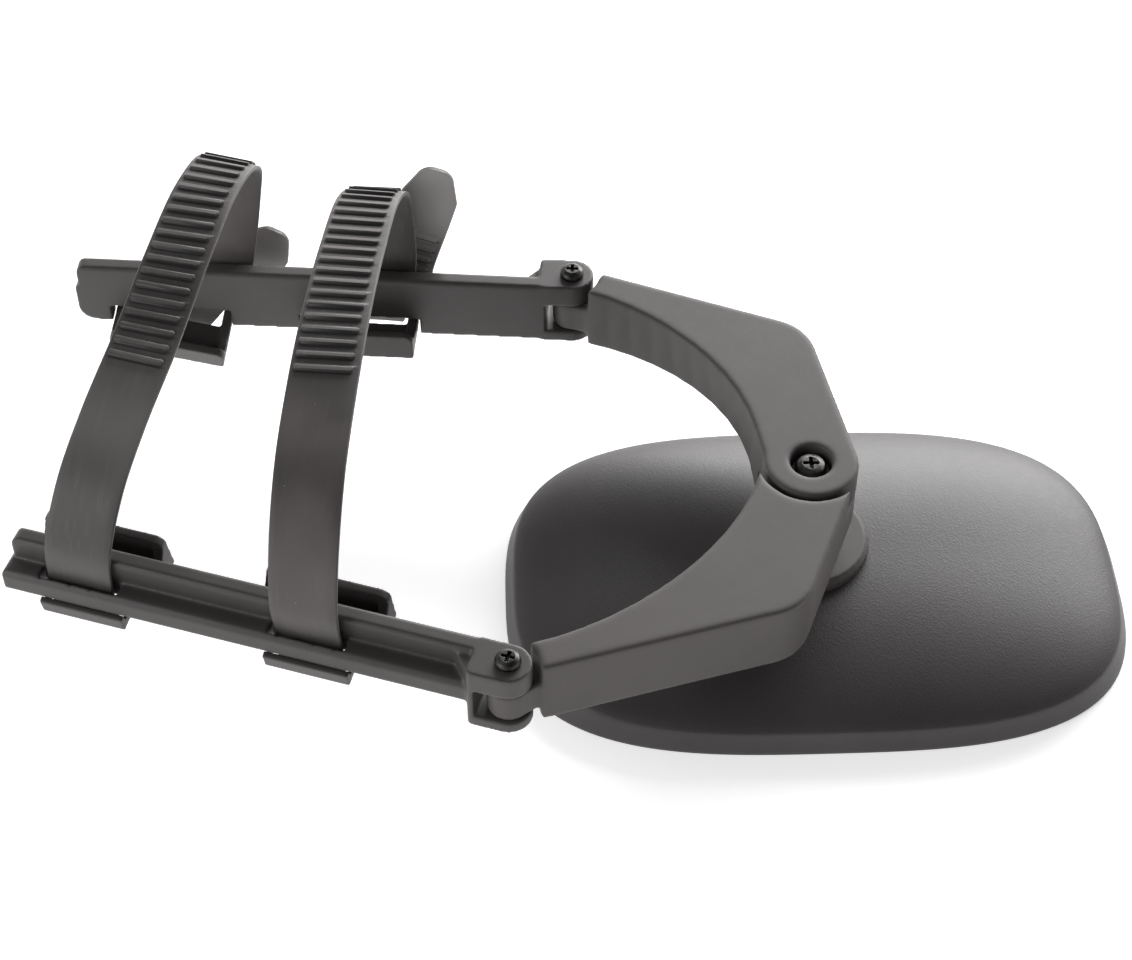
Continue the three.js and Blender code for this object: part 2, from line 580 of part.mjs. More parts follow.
const ends = [['a', ARM_A, RAIL_A], ['b', ARM_B, RAIL_B]];
for (const [letter, arm, rail] of ends) {
  const [x, y] = pinOf(arm);
  const group = turnedGroup(assembly, x, y, rail.angle);
  place(`rail_${letter}`, makeRail(rail), RAIL_PLASTIC, group);
  place(`clevis_screw_${letter}`, makeClevisScrew(), ZINC, group);
  place(`clevis_nut_${letter}`, makeClevisNut(), ZINC, group);
  rail.clips.forEach(({ u, pose: { roll, tilt, drop, out } }, i) => {
    const clip = place(`clip_${letter}${i + 1}`, makeClip(rail), RAIL_PLASTIC, group);
    clip.position.set(u, (CLIP.barV - out) * rail.side, CLIP.barZ - drop);
    clip.rotation.set(THREE.MathUtils.degToRad(roll * rail.side), THREE.MathUtils.degToRad(tilt), 0, 'YXZ');
  });
}

for (const [name, strap] of Object.entries(STRAPS)) {
  const near = (z) => [...onRail(ARM_B, RAIL_B, strap.nearU, STRAP.v, z), RAIL_B.angle - 180];
  const far = (v, z) => {
    const u = strap.farU + (RAIL.step - z) * strap.slope;
    return [...onRail(ARM_A, RAIL_A, u, v, z), RAIL_A.angle - 180];
  };
  const { turnZ, tailV } = strap;
  const stations = [
    near(33.6), near(46), ...strap.arch,
    far(STRAP.v, RAIL.step + 1), far(STRAP.v, 38), far(STRAP.v, turnZ + 3.2), far(STRAP.v - 1, turnZ + 0.8),
    far((STRAP.v + tailV) / 2, turnZ), far(tailV + 1, turnZ + 0.8), far(tailV, turnZ + 3.2), ...strap.tail,
  ];
  const anchor = box(-9, 9, -2.4, 2.4, 31.4, 34).rotate([0, 0, RAIL_B.angle])
    .translate(onRail(ARM_B, RAIL_B, strap.nearU, STRAP.v, 0));
  place(name, makeStrap(stations, 80).add(anchor), STRAP_RUBBER);
}

export default assembly;
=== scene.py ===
import json
import math

import bmesh
import bpy
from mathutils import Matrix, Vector
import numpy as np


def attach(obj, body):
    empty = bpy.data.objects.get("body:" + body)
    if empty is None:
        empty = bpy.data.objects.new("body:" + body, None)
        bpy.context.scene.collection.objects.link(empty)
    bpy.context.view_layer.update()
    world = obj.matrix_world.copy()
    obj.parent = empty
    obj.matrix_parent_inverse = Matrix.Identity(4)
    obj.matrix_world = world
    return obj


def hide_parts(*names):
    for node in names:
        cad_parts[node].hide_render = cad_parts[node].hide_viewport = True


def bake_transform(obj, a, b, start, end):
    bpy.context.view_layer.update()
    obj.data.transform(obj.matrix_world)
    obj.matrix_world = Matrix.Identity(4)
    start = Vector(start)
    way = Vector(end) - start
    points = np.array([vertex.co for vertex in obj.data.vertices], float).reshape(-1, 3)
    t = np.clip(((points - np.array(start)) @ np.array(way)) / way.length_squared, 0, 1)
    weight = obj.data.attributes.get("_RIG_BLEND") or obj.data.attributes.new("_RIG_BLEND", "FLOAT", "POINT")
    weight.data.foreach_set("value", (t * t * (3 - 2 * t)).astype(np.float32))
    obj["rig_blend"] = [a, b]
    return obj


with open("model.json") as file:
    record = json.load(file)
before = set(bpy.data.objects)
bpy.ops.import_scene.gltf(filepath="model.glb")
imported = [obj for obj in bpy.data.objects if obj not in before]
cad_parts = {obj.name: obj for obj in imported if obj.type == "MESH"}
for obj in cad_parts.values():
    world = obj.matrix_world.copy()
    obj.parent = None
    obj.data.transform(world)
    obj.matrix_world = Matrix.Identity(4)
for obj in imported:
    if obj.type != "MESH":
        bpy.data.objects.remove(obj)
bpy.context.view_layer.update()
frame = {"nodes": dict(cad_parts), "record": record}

MM = 0.001
NODES = frame["nodes"]

# ---- driving dimensions, in millimetres ----------------------------------------------------

HEAD_LENGTH, HEAD_WIDTH, HEAD_SQUARENESS = 190, 124, 3.07
HEAD_MIDDLE, HEAD_YAW = (4.2, -2.6), math.radians(1.9)
RIM, SHOULDER, CROWN, WALL = -1.2, 7.0, 19.2, 2.6    # heights up the shell's back, wall thickness
HEAD_SIDES, DOME_STEPS = 192, 44                     # how finely the head is drawn

STRAP_WIDTH, STRAP_TOP_WIDTH, STRAP_THICKNESS = 20, 17.8, 2.4
NARROWS_FROM, NARROWS_OVER = 0.2, 0.3    # shares of the route where the wide foot narrows
EDGE_RADIUS, EDGE_BEVEL = 0.45, 0.4      # along the ribbed face, and along the smooth one
TIP_WIDTH, TIP_LENGTH, PLAIN_TIP = 9, 11, 25
TIP_ROUND, TIP_PINCH = 3.0, 5            # the rounded end's length, and the width it takes off
STRAP_V = -1.4                           # a strap's middle, across each rail
IN_SLOT_B, IN_SLOT_A = (33.6, 46), 38    # heights where a strap is held upright in a rail's slot
TURN_LEG, TURN_EASE = 3.2, 0.8           # heights over a turn's lowest point, beside and under

RIB_PITCH, RIB_LENGTH, RIB_HEIGHT = 4.7, 2.4, 1.0
RIB_MARGINS, FLAT_MARGINS = (1.0, 1.9), (2.0, 3.0)   # left and right, on a rib and between ribs
RIB_RISE, RIB_FALL, RIB_SLOPE = 0.3, 0.6, 0.25       # front and back flanks, drop of the crown
RIB_FLANK, SHORTEST_RIB = 0.3, 3                     # side flanks, narrowest rib that is drawn

TAIL_HIGHLIGHT_LENGTH, TAIL_HIGHLIGHT_FADE, TAIL_HIGHLIGHT_STRENGTH = 48, 20, 0.9   # painted highlight, a paler lit look, on the loose tail's ribbed face
SHADE_REACH, SHADE_CLIMB = 0.8, 0.25     # painted shade in front of each rib, and up its flank
RIBBED, UNDERSIDE = range(1, 6), range(9, 15)        # a section's points on and off that face

# A strap is cut into lengths above the rails and on both sides of its crest. A length that
# flexes keeps a few path points at each end with the body there.
LEAVES_RAIL_B, MEETS_RAIL_A, CREST_POINTS = 8, 6, 60
HELD_POINTS, HELD_AT_CREST = 8, 2
ROUTE_SAMPLES, PATH_STEP = 3000, 0.2

# Nodes that are shown with soft edges: (edge radius, voxel size). The relaxing passes for an
# edge as wide as one voxel are RELAX_PASSES.
SOFT_EDGES = {
    "arm_a": (1.5, 0.55), "arm_b": (1.5, 0.55), "rail_a": (0.8, 0.45), "rail_b": (0.8, 0.45),
    "clip_a1": (0.6, 0.35), "clip_a2": (0.6, 0.35), "clip_b1": (0.6, 0.35), "clip_b2": (0.6, 0.35),
    "socket_ring": (0.4, 0.3), "clevis_screw_a": (0.12, 0.1), "clevis_screw_b": (0.12, 0.1),
    "pivot_screw": (0.2, 0.15),
}
RELAX_PASSES = 3.2

# The hinge pins and the rails' headings, as the design has them.
PIN_A = 106.1 * Vector((math.cos(math.radians(131.2)), math.sin(math.radians(131.2))))
PIN_B = 115.3 * Vector((math.cos(math.radians(220.6)), math.sin(math.radians(220.6))))
RAILS = {"rail_a": (PIN_A, 176.4, 1), "rail_b": (PIN_B, 163.0, -1)}
RAIL_STEP = 47.8         # height of the rails' shelf, which the straps pass through

# Each strap's route: up from rail B at near_u over the free arch, given as (x, y, z, heading of
# the width), down through rail A's slot at far_u, leaning by slope, round under clip A at turn_z
# and up as a tail, tail_v across the rail. The ribs start after plain. The patches after plain
# are painted highlight on the ribbed face, a lit look painted on: (distance along the strap,
# spread, amount).
STRAPS = {
    "strap_1": {
        "near_u": 127.6, "far_u": 113, "slope": 0.75, "turn_z": 20, "tail_v": -12.9,
        # strap_1's patches: painted highlight where its curve catches the light
        "plain": 83, "rub_and_sheen": ((63, 14, 0.25), (15, 9, 0.1)),
        "arch": [
            (-209.4, -37.4, 57.8, -17), (-205.1, -27, 73.5, -18), (-199.4, -10.9, 83.7, -19),
            (-191.8, 13, 92, -17), (-185.2, 37.4, 99.6, -19), (-179.2, 62.6, 103.4, -21),
            (-175, 80, 100.8, -20), (-173.8, 90.6, 92, -15), (-175.4, 93.4, 80, -9),
            (-178.4, 90.6, 62, -5),
        ],
        "tail": [(-183, 99.4, 33, -4), (-171.6, 97, 46.4, -4), (-164, 95.8, 59.6, -4)],
    },
    "strap_2": {
        "near_u": 58.2, "far_u": 59.6, "slope": 0.24, "turn_z": 31, "tail_v": -8.2,
        "plain": 97, "rub_and_sheen": (),
        "arch": [
            (-144.1, -60, 58.3, -17), (-143.4, -53, 74, -16), (-141.9, -35.4, 88.4, -14),
            (-139.6, -9.6, 95.9, -11), (-137.1, 17.1, 99.1, -9), (-134.3, 44, 98.9, -7),
            (-131.2, 70.6, 95.1, -5), (-128.9, 84, 86, -4), (-128, 86, 72, -4),
            (-127.8, 85.3, 58, -4),
        ],
        "tail": [
            (-126.6, 91.7, 38, -4), (-122, 91.7, 53, -4), (-116.6, 91.4, 70, -4),
            (-111.2, 92, 88, -4),
        ],
    },
}


# ---- materials -----------------------------------------------------------------------------

class Look:
    """A Principled material with a few node helpers."""

    def __init__(self, name, color, roughness, metallic=0.0):
        self.material = bpy.data.materials.new(name)
        self.material.use_nodes = True
        self.tree = self.material.node_tree
        self.shader = self.tree.nodes["Principled BSDF"]
        self.shader.inputs["Base Color"].default_value = (*color, 1)
        self.shader.inputs["Roughness"].default_value = roughness
        self.shader.inputs["Metallic"].default_value = metallic
        self.place = self.tree.nodes.new("ShaderNodeTexCoord").outputs["Object"]

    def link(self, output, target):
        self.tree.links.new(output, target)

    def drive(self, socket, output):
        """Let a node's output set one of the shader's inputs."""
        self.link(output, self.shader.inputs[socket])

    def attribute(self, name):
        """A number that the mesh carries at its points."""
        node = self.tree.nodes.new("ShaderNodeAttribute")
        node.attribute_name = name
        return node.outputs["Fac"]

    def stretched(self, scale, turn=0.0):
        """Object coordinates, scaled along each axis after a turn about Z."""
        node = self.tree.nodes.new("ShaderNodeMapping")
        node.vector_type = "TEXTURE"
        node.inputs["Rotation"].default_value = (0, 0, turn)
        node.inputs["Scale"].default_value = [1 / s for s in scale]
        self.link(self.place, node.inputs["Vector"])
        return node.outputs["Vector"]

    def noise(self, scale, detail=3.0, roughness=0.55, vector=None):
        node = self.tree.nodes.new("ShaderNodeTexNoise")
        node.inputs["Scale"].default_value = scale
        node.inputs["Detail"].default_value = detail
        node.inputs["Roughness"].default_value = roughness
        self.link(vector or self.place, node.inputs["Vector"])
        return node.outputs["Fac"]

    def cells(self, scale):
        node = self.tree.nodes.new("ShaderNodeTexVoronoi")
        node.inputs["Scale"].default_value = scale
        self.link(self.place, node.inputs["Vector"])
        return node.outputs["Distance"]

    def ramp(self, fac, low, high, start=0.35, end=0.65):
        """A number or a colour that goes from low to high as fac goes from start to end."""
        if not isinstance(low, tuple):
            node = self.tree.nodes.new("ShaderNodeMapRange")
            node.interpolation_type = "SMOOTHSTEP"
            limits = {"From Min": start, "From Max": end, "To Min": low, "To Max": high}
            for name, value in limits.items():
                node.inputs[name].default_value = value
            self.link(fac, node.inputs["Value"])
            return node.outputs["Result"]
        node = self.tree.nodes.new("ShaderNodeValToRGB")
        for element, at, color in zip(node.color_ramp.elements, (start, end), (low, high)):
            element.position = at
            element.color = (*color, 1)
        self.link(fac, node.inputs["Fac"])
        return node.outputs["Color"]

    def mix(self, fac, a, b):
        """Colour a turning into b as fac goes from 0 to 1; a and b are colours or outputs."""
        node = self.tree.nodes.new("ShaderNodeMix")
        node.data_type = "RGBA"
        for output, index in ((fac, 0), (a, 6), (b, 7)):
            if isinstance(output, tuple):
                node.inputs[index].default_value = (*output, 1)
            else:
                self.link(output, node.inputs[index])
        return node.outputs[2]

    def bumps(self, *layers):
        """Each layer is (height output, distance in mm, strength)."""
        normal = None
        for height, distance, strength in layers:
            node = self.tree.nodes.new("ShaderNodeBump")
            node.inputs["Distance"].default_value = distance * MM
            node.inputs["Strength"].default_value = strength
            self.link(height, node.inputs["Height"])
            if normal:
                self.link(normal, node.inputs["Normal"])
            normal = node.outputs["Normal"]
        self.link(normal, self.shader.inputs["Normal"])

    def edge_wear(self, start=0.52, end=0.6):
        """Near 1 along convex edges, 0 elsewhere."""
        node = self.tree.nodes.new("ShaderNodeNewGeometry")
        return self.ramp(node.outputs["Pointiness"], 0.0, 1.0, start, end)


def moulded_plastic(name, dark, light, roughness, grain, grain_depth):
    """Satin moulded plastic: faintly cloudy colour, a fine spark-eroded grain and a little rub."""
    look = Look(name, dark, roughness)
    cloud = look.noise(28, 4)
    rub_and_sheen = look.noise(420, 3, 0.6)
    look.drive("Base Color", look.mix(look.ramp(cloud, 0.0, 1.0, 0.3, 0.7), dark, light))
    look.drive("Roughness", look.ramp(rub_and_sheen, roughness - 0.012, roughness + 0.014, 0.3, 0.7))
    pits, waves = look.cells(grain), look.noise(grain * 1.7, 2)
    look.bumps((pits, grain_depth, 0.35), (waves, grain_depth, 0.25))
    return look.material


def strap_rubber():
    """Matt moulded rubber: cloudy patches, faint lengthwise streaks and specks, with a painted
    highlight on the ribbed face and painted shade in front of each rib.
    """
    look = Look("strap_rubber", (0.06, 0.056, 0.055), 0.6)
    look.shader.inputs["Sheen Weight"].default_value = 0.12
    look.shader.inputs["Sheen Roughness"].default_value = 0.4
    patch = look.ramp(look.noise(16, 3), 0.0, 1.0, 0.38, 0.68)
    base = look.mix(patch, (0.055, 0.049, 0.047), (0.115, 0.103, 0.1))
    streaks = look.noise(600, 3, 0.6, look.stretched((1, 0.06, 0.2), -0.25))
    streaked = look.mix(look.ramp(streaks, 0.0, 0.22, 0.5, 0.75), base, (0.13, 0.125, 0.12))
    speck = look.ramp(look.noise(620, 1, 0.4), 0.0, 0.5, 0.79, 0.84)
    specked = look.mix(speck, streaked, (0.3, 0.29, 0.28))
    # painted highlight: the ribbed face turns pale where the mesh marks it, a lit look painted on
    highlit = look.mix(look.attribute("painted_highlight"), specked, (0.42, 0.403, 0.398))
    # painted shade: near black in front of each rib, where shade falls
    look.drive("Base Color", look.mix(look.attribute("painted_shade"), highlit, (0.02, 0.019, 0.019)))
    look.drive("Roughness", look.ramp(patch, 0.5, 0.64, 0.0, 1.0))
    look.bumps((look.noise(2600, 3), 0.04, 0.25), (look.noise(160, 3), 0.2, 0.2))
    return look.material


def plated_metal(name, color, roughness):
    """Zinc plate: fine turning marks, cloudy passivation and rubbed edges."""
    look = Look(name, color, roughness, 1.0)
    cloud = look.noise(420, 4)
    darker = tuple(0.55 * c for c in color)
    lighter = tuple(min(1.0, 1.7 * c) for c in color)
    passivated = look.mix(look.ramp(cloud, 0.0, 1.0), darker, color)
    look.drive("Base Color", look.mix(look.edge_wear(), passivated, lighter))
    look.drive("Roughness", look.ramp(cloud, roughness - 0.08, roughness + 0.12))
    look.bumps((look.noise(5200, 2), 0.02, 0.3))
    return look.material


def natural_nylon():
    """Unpigmented nylon, slightly cloudy and slightly see-through."""
    look = Look("nylon", (0.68, 0.65, 0.58), 0.42)
    look.shader.inputs["Subsurface Weight"].default_value = 0.15
    look.drive("Base Color", look.ramp(look.noise(120), (0.62, 0.585, 0.51), (0.72, 0.69, 0.62)))
    look.bumps((look.noise(1800, 2), 0.03, 0.3))
    return look.material


def closed_foam():
    """Black closed-cell foam."""
    look = Look("foam", (0.02, 0.02, 0.022), 0.9)
    bubbles = look.cells(1400)
    # painted shade: darker in the bubbles' pits, where the bumps dip
    shade = look.ramp(bubbles, (0.012, 0.012, 0.013), (0.035, 0.035, 0.038), 0.1, 0.6)
    look.drive("Base Color", shade)
    look.bumps((bubbles, 0.2, 0.7))
    return look.material


def mirror_glass():
    """Silvered glass with the faintest haze and a few dust specks."""
    look = Look("mirror_coating", (0.86, 0.88, 0.9), 0.02, 1.0)
    haze = look.noise(30, 4)
    look.drive("Base Color", look.ramp(haze, (0.83, 0.86, 0.87), (0.9, 0.92, 0.93)))
    look.drive("Roughness", look.ramp(look.noise(1600, 1), 0.015, 0.12, 0.72, 0.8))
    return look.material


LOOKS = {
    "shell_plastic": moulded_plastic(
        "shell_plastic", (0.047, 0.041, 0.0415), (0.056, 0.0495, 0.0505), 0.48, 1500, 0.10),
    "arm_plastic": moulded_plastic(
        "arm_plastic", (0.068, 0.0595, 0.0585), (0.079, 0.0695, 0.068), 0.6, 2600, 0.04),
    "rail_plastic": moulded_plastic(
        "rail_plastic", (0.048, 0.043, 0.0415), (0.06, 0.0535, 0.052), 0.48, 2600, 0.04),
    "strap_rubber": strap_rubber(),
    "dark_zinc": plated_metal("dark_zinc", (0.075, 0.073, 0.071), 0.35),
    "steel": plated_metal("steel", (0.5, 0.51, 0.53), 0.26),
    "nylon": natural_nylon(),
    "foam": closed_foam(),
    "mirror_coating": mirror_glass(),
}
SLOT_OF = {part["node"]: part["material_slot"] for part in frame["record"]["subparts"]}
BODY_OF = {
    node: body for body, nodes in frame["record"]["behaviour"]["bodies"].items() for node in nodes
}


# ---- mesh helpers --------------------------------------------------------------------------

def clamp(value):
    return min(max(value, 0), 1)


def loft(bm, loops):
    """Close the loops of points into one skin, capped at both ends."""
    for one, two in zip(loops, loops[1:]):
        for i in range(len(one)):
            j = (i + 1) % len(one)
            bm.faces.new((one[i], one[j], two[j], two[i]))
    bm.faces.new(loops[0])
    bm.faces.new(reversed(loops[-1]))


def new_object(name, bm, slot, sharp_angle=40):
    """A shaded object from a bmesh, in metres, with edges over sharp_angle kept crisp."""
    bmesh.ops.recalc_face_normals(bm, faces=bm.faces)
    mesh = bpy.data.meshes.new(name)
    bm.to_mesh(mesh)
    bm.free()
    mesh.shade_smooth()
    mesh.set_sharp_from_angle(angle=math.radians(sharp_angle))
    obj = bpy.data.objects.new(name, mesh)
    bpy.context.scene.collection.objects.link(obj)
    mesh.materials.append(LOOKS[slot])
    return obj


def soften(node, radius, voxel):
    """Make a copy of a CAD node with edges rounded by about radius, which stands for the node."""
    mesh = NODES[node].data.copy()
    rough = bpy.data.objects.new(f"{node}_rough", mesh)
    bpy.context.scene.collection.objects.link(rough)
    remesh = rough.modifiers.new("skin", "REMESH")
    remesh.mode = "VOXEL"
    remesh.voxel_size = voxel * MM
    relax = rough.modifiers.new("relax", "SMOOTH")
    relax.factor = 0.5
    relax.iterations = max(2, round(RELAX_PASSES * (radius / voxel) ** 2))
    evaluated = rough.evaluated_get(bpy.context.evaluated_depsgraph_get())
    bm = bmesh.new()
    bm.from_mesh(evaluated.to_mesh())
    evaluated.to_mesh_clear()
    bpy.data.objects.remove(rough)
    obj = new_object(f"{node}_moulded", bm, SLOT_OF[node], 180)
    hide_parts(node)
    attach(obj, BODY_OF[node])


# ---- mirror head ---------------------------------------------------------------------------

def head_point(radius, angle, z):
    """A point of the head's rounded-rectangle outline, scaled by radius, in metres."""
    def squared(value):
        return math.copysign(abs(value) ** (2 / HEAD_SQUARENESS), value)

    x = HEAD_LENGTH / 2 * radius * squared(math.cos(angle))
    y = HEAD_WIDTH / 2 * radius * squared(math.sin(angle))
    cos, sin = math.cos(HEAD_YAW), math.sin(HEAD_YAW)
    return Vector((x * cos - y * sin + HEAD_MIDDLE[0], x * sin + y * cos + HEAD_MIDDLE[1], z)) * MM


def back_height(t):
    """Height of the domed back at t, from 0 in the middle to 1 at the shoulder."""
    return SHOULDER + (CROWN - SHOULDER) * (1 - t ** 2.4) ** 0.75


def build_head_shell():
    """The domed back, its rolled rim and its inner face, as one turned and squared skin."""
    steps = [0.02 + 0.98 * (1 - (1 - i / DOME_STEPS) ** 1.7) for i in range(DOME_STEPS + 1)]
    outside = [(0.962 * t, back_height(t) - 0.15) for t in steps if t < 0.995]
    rim = [(0.9655, SHOULDER - 0.1), (0.9705, SHOULDER - 0.8), (0.9745, SHOULDER - 1.7)]
    rim += [(0.979, SHOULDER - 2.8), (0.986, 2.4), (0.996, 0.2), (0.997, -0.7), (0.993, RIM)]
    edge = 1 - WALL / (HEAD_WIDTH / 2)
    inside = [(edge + 0.004, RIM), (edge, RIM + 0.4), (edge, 2.5)]
    inside += [(edge * t, back_height(t) - WALL) for t in (0.98, 0.9, 0.75, 0.55, 0.3, 0.1)]
    bm = bmesh.new()
    turns = [2 * math.pi * i / HEAD_SIDES for i in range(HEAD_SIDES)]
    loft(bm, [[bm.verts.new(head_point(radius, turn, z)) for turn in turns]
              for radius, z in outside + rim + inside])
    obj = new_object("head_shell_moulded", bm, "shell_plastic")
    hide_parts("head_shell")
    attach(obj, "head")


# ---- straps --------------------------------------------------------------------------------

def on_rail(rail, u, v, z):
    """A route station u along a rail from its hinge pin and v across it, square to the rail."""
    pin, degrees, side = RAILS[rail]
    heading = math.radians(degrees)
    along = Vector((math.cos(heading), math.sin(heading)))
    across = Vector((-math.sin(heading), math.cos(heading))) * side
    x, y = pin + along * u + across * v
    return (x, y, z, degrees - 180)


def strap_stations(near_u, far_u, slope, turn_z, tail_v, arch, tail, **_):
    """All the stations of a strap's route, in order."""
    def far(v, z):
        return on_rail("rail_a", far_u + (RAIL_STEP - z) * slope, v, z)

    near = [on_rail("rail_b", near_u, STRAP_V, z) for z in IN_SLOT_B]
    down = [far(STRAP_V, z) for z in (RAIL_STEP + 1, IN_SLOT_A, turn_z + TURN_LEG)]
    turn = [far(STRAP_V - 1, turn_z + TURN_EASE), far((STRAP_V + tail_v) / 2, turn_z)]
    turn += [far(tail_v + 1, turn_z + TURN_EASE), far(tail_v, turn_z + TURN_LEG)]
    return near + arch + down + turn + tail


def route(stations, t):
    """Point and width heading at t (0 to 1) on the centripetal curve through the stations."""
    points = [Vector(s[:3]) for s in stations]
    points = [2 * points[0] - points[1], *points, 2 * points[-1] - points[-2]]
    place = min(t * (len(stations) - 1), len(stations) - 1 - 1e-9)
    i = int(place)
    p = points[i:i + 4]
    d = [math.sqrt((b - a).length) for a, b in zip(p, p[1:])]
    start = ((p[1] - p[0]) / d[0] - (p[2] - p[0]) / (d[0] + d[1]) + (p[2] - p[1]) / d[1]) * d[1]
    end = ((p[2] - p[1]) / d[1] - (p[3] - p[1]) / (d[1] + d[2]) + (p[3] - p[2]) / d[2]) * d[1]
    s = place - i
    point = (p[1] + start * s + (-3 * p[1] + 3 * p[2] - 2 * start - end) * s ** 2
             + (2 * p[1] - 2 * p[2] + start + end) * s ** 3)
    heading = stations[i][3] + (stations[i + 1][3] - stations[i][3]) * s
    return point, math.radians(heading)


def strap_path(stations):
    """Evenly spaced frames down the strap: (distance, t, point, tangent, across, outward)."""
    last = ROUTE_SAMPLES
    samples = [route(stations, i / last) for i in range(last + 1)]
    frames, travelled, previous = [], 0.0, samples[0][0]
    for i, (point, heading) in enumerate(samples):
        travelled += (point - previous).length
        previous = point
        if frames and travelled - frames[-1][0] < PATH_STEP and i < last:
            continue
        ahead, behind = samples[min(i + 2, last)][0], samples[max(i - 2, 0)][0]
        tangent = (ahead - behind).normalized()
        across = Vector((math.cos(heading), math.sin(heading), 0))
        across = (across - tangent * across.dot(tangent)).normalized()
        frames.append((travelled, i / last, point, tangent, across, across.cross(tangent)))
    return frames


def strap_width(t, to_tip):
    """The strip's width at t along the route, to_tip mm before its rounded end."""
    narrowed = clamp((t - NARROWS_FROM) / NARROWS_OVER)
    width = STRAP_WIDTH + (STRAP_TOP_WIDTH - STRAP_WIDTH) * narrowed ** 2 * (3 - 2 * narrowed)
    width = TIP_WIDTH + (width - TIP_WIDTH) * min(to_tip / TIP_LENGTH, 1)
    rounding = min(to_tip / TIP_ROUND, 1)
    return width - TIP_PINCH * (1 - math.sqrt(max(1 - (1 - rounding) ** 2, 0)))


def rib_shape(distance, first, last):
    """A rib's height there, and how far its rounded ends draw in: steep front, sloping back."""
    if not first <= distance <= last:
        return 0.0, 0.0
    into = (distance - first) % RIB_PITCH
    if into > RIB_LENGTH:
        return 0.0, 0.0
    height = min(into / RIB_RISE, 1) * (1 - RIB_SLOPE * into / RIB_LENGTH)
    height *= min((RIB_LENGTH - into) / RIB_FALL, 1)
    reach = min(into, RIB_LENGTH - into) / (RIB_LENGTH / 2)
    return RIB_HEIGHT * height, RIB_LENGTH / 2 * (1 - math.sqrt(1 - (1 - reach) ** 2))


def strap_section(width, rib, inset):
    """The strip's outline at one place, as (across, outward) points: rounded edges, raised rib."""
    half, thick, r, bevel = width / 2, STRAP_THICKNESS / 2, EDGE_RADIUS, EDGE_BEVEL
    face = thick - RIB_HEIGHT
    left, right = -half + RIB_MARGINS[0] + inset, half - RIB_MARGINS[1] - inset
    if rib == 0 or right - left < SHORTEST_RIB:
        left, right, rib = -half + FLAT_MARGINS[0], half - FLAT_MARGINS[1], 0.0
    top = face + rib
    points = [(-half + r, face), (left, face), (left + RIB_FLANK, top), (0, top)]
    points += [(right - RIB_FLANK, top), (right, face), (half - r, face)]
    turns = [math.radians(turn) for turn in (60, 30)]
    corner = [(r * math.cos(turn), face - r + r * math.sin(turn)) for turn in turns]
    points += [(half - r + a, n) for a, n in corner]
    points += [(half, face - r), (half, -thick + bevel), (half - bevel, -thick)]
    points += [(-half + bevel, -thick), (-half, -thick + bevel), (-half, face - r)]
    points += [(-half + r - a, n) for a, n in reversed(corner)]
    return points


def surface_marks(distance, total, plain, rub_and_sheen):
    """How much painted highlight, a paler lit look, the ribbed face gets there, and 1 where
    painted shade falls in front of a rib.
    """
    # painted highlight: towards the tail's end, and in the strap's listed patches
    highlight_amount = TAIL_HIGHLIGHT_STRENGTH * clamp((distance - total + TAIL_HIGHLIGHT_LENGTH) / TAIL_HIGHLIGHT_FADE)
    highlight_amount += sum(amount * math.exp(-((distance - middle) / spread) ** 2)
                for middle, spread, amount in rub_and_sheen)
    # painted shade in front of each rib and up its flank
    phase = (distance - plain) % RIB_PITCH
    in_front = phase > RIB_PITCH - SHADE_REACH or phase < SHADE_CLIMB
    ribbed = plain - SHADE_REACH < distance < total - PLAIN_TIP
    return highlight_amount, 1.0 if in_front and ribbed else 0.0


def strap_skin(rings, marks):
    """A closed skin over the rings of points, which carries each ring's painted highlight and
    painted shade.
    """
    bm = bmesh.new()
    for key in ("painted_highlight", "painted_shade"):
        bm.verts.layers.float.new(key)
    painted_highlight, painted_shade = (bm.verts.layers.float[key] for key in ("painted_highlight", "painted_shade"))
    loops = [[bm.verts.new(point) for point in ring] for ring in rings]
    for loop, (highlight_amount, shade_mark) in zip(loops, marks):
        for i, vert in enumerate(loop):
            vert[painted_highlight] = 0.0 if i in UNDERSIDE else highlight_amount
            vert[painted_shade] = shade_mark if i in RIBBED else 0.0
    loft(bm, loops)
    return bm


def build_strap(name, spec):
    """One strap as five lengths that meet end to end: the foot and the tail ride on the rails,
    and the three between them flex from one body to the next."""
    path = strap_path(strap_stations(**spec))
    total = path[-1][0]
    rings, marks = [], []
    for distance, t, point, _, across, outward in path:
        rib, inset = rib_shape(distance, spec["plain"], total - PLAIN_TIP)
        section = strap_section(strap_width(t, total - distance), rib, inset)
        rings.append([(point + across * a + outward * n) * MM for a, n in section])
        marks.append(surface_marks(distance, total, spec["plain"], spec["rub_and_sheen"]))

    places = [station[2] for station in path]
    crest = max(range(len(path)), key=lambda i: places[i].z)
    leaves_b = next(i for i in range(crest) if places[i].z > RAIL_STEP + LEAVES_RAIL_B)
    meets_a = next(i for i in range(crest, len(path)) if places[i].z < RAIL_STEP + MEETS_RAIL_A)
    cuts = [0, leaves_b, crest - CREST_POINTS, crest + CREST_POINTS, meets_a, len(path) - 1]
    lengths = (
        ("foot", "rail_b", None, 0), ("near", "rail_b", "arm_b", HELD_POINTS),
        ("top", "arm_b", "arm_a", HELD_AT_CREST), ("far", "arm_a", "rail_a", HELD_POINTS),
        ("tail", "rail_a", None, 0),
    )
    for (label, body, next_body, held), first, last in zip(lengths, cuts, cuts[1:]):
        skin = strap_skin(rings[first:last + 1], marks[first:last + 1])
        piece = new_object(f"{name}_{label}", skin, "strap_rubber", 50)
        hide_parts(name)
        if next_body is None:
            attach(piece, body)
        else:
            start, end = places[first + held] * MM, places[last - held] * MM
            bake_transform(piece, body, next_body, start, end)


# ---- put together --------------------------------------------------------------------------

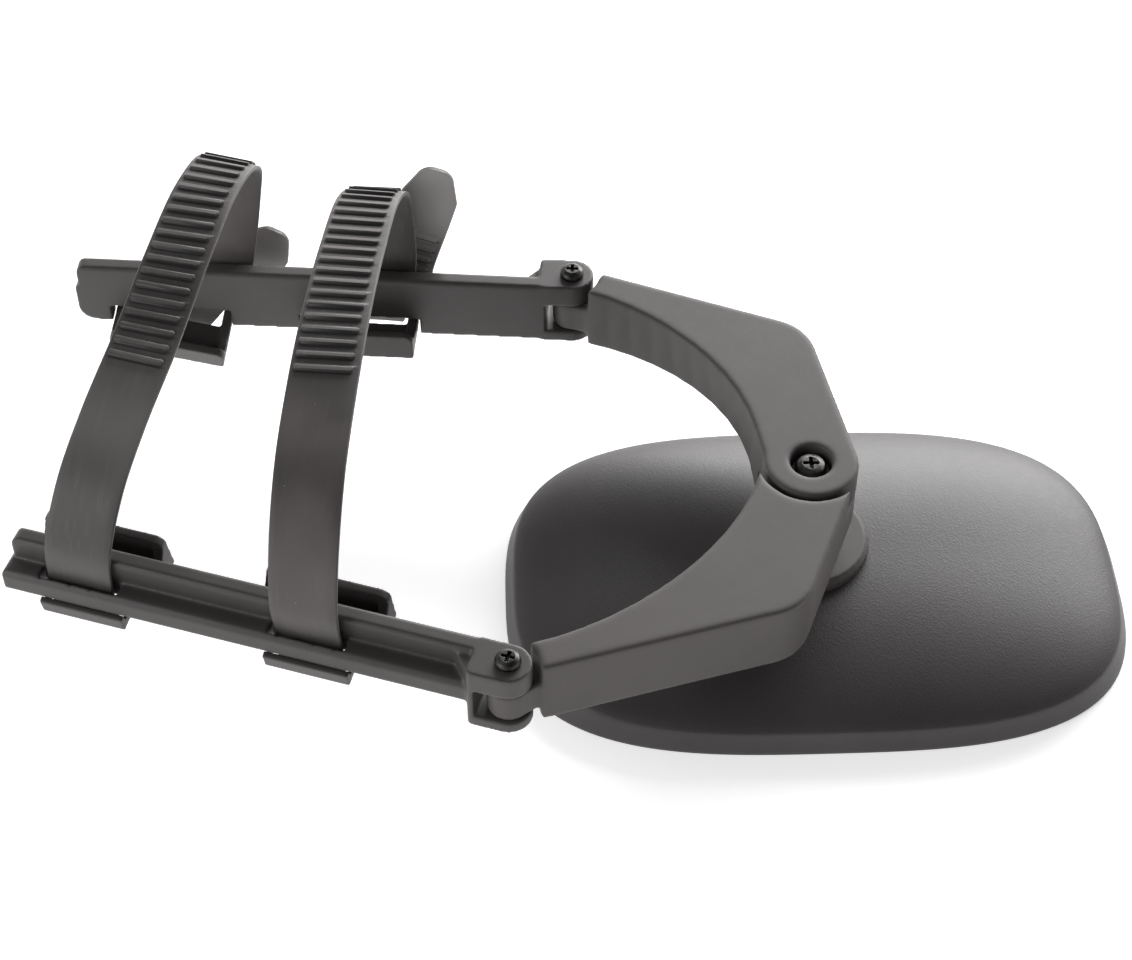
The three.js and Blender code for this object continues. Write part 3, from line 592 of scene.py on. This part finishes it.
for node, obj in NODES.items():
    obj.data.materials.clear()
    obj.data.materials.append(LOOKS[SLOT_OF[node]])
    obj.data.shade_smooth()

build_head_shell()
for node, (radius, voxel) in SOFT_EDGES.items():
    soften(node, radius, voxel)
for name, spec in STRAPS.items():
    build_strap(name, spec)


# ---- floor, light and camera ---------------------------------------------------------------

def build_stage():
    """A sheet of white paper under the mirror."""
    bm = bmesh.new()
    bmesh.ops.create_grid(bm, x_segments=1, y_segments=1, size=4)
    bmesh.ops.translate(bm, verts=bm.verts, vec=(0, 0, RIM * MM))
    mesh = bpy.data.meshes.new("floor")
    bm.to_mesh(mesh)
    bm.free()
    floor = bpy.data.objects.new("floor", mesh)
    bpy.context.scene.collection.objects.link(floor)
    paper = Look("white_paper", (0.93, 0.93, 0.93), 0.9)
    paper.shader.inputs["Emission Color"].default_value = (1, 1, 1, 1)
    paper.shader.inputs["Emission Strength"].default_value = 0.55
    mesh.materials.append(paper.material)


def area_light(name, place, size, power):
    """A rectangular lamp at place that faces the origin."""
    light = bpy.data.lights.new(name, "AREA")
    light.shape = "RECTANGLE"
    light.size, light.size_y = size
    light.energy = power
    obj = bpy.data.objects.new(name, light)
    obj.location = place
    obj.rotation_euler = (-Vector(place)).to_track_quat("-Z", "Y").to_euler()
    bpy.context.scene.collection.objects.link(obj)


def build_light():
    """A studio that is white low down and behind, grey in front and dim overhead, and two lamps."""
    world = bpy.data.worlds.new("studio")
    world.use_nodes = True
    tree = world.node_tree
    background = tree.nodes["Background"]
    place = tree.nodes.new("ShaderNodeTexCoord")
    lean = tree.nodes.new("ShaderNodeVectorMath")
    lean.operation = "DOT_PRODUCT"
    lean.inputs[1].default_value = (0.05, -0.38, 0.85)
    ramp = tree.nodes.new("ShaderNodeValToRGB")
    low, high = ramp.color_ramp.elements
    low.position, low.color = 0.0, (1, 1, 1, 1)
    high.position, high.color = 0.85, (0.1, 0.1, 0.1, 1)
    ramp.color_ramp.elements.new(0.35).color = (0.38, 0.38, 0.38, 1)
    tree.links.new(place.outputs["Generated"], lean.inputs[0])
    tree.links.new(lean.outputs["Value"], ramp.inputs["Fac"])
    tree.links.new(ramp.outputs["Color"], background.inputs["Color"])
    background.inputs["Strength"].default_value = 1.0
    bpy.context.scene.world = world
    area_light("back", (0.55, 1.4, 0.68), (1.5, 0.7), 44)
    area_light("left", (-0.85, -0.45, 0.4), (0.4, 0.4), 3)


def build_camera():
    camera = bpy.data.cameras.new("camera")
    camera.sensor_width = 36
    camera.lens = 76.3
    obj = bpy.data.objects.new("camera", camera)
    obj.location = (-0.0718, -0.4784, 0.5692)
    obj.rotation_euler = (math.radians(42.5), 0, 0)
    bpy.context.scene.collection.objects.link(obj)
    bpy.context.scene.camera = obj


build_stage()
build_light()
build_camera()
bpy.context.scene.view_settings.view_transform = "Standard"
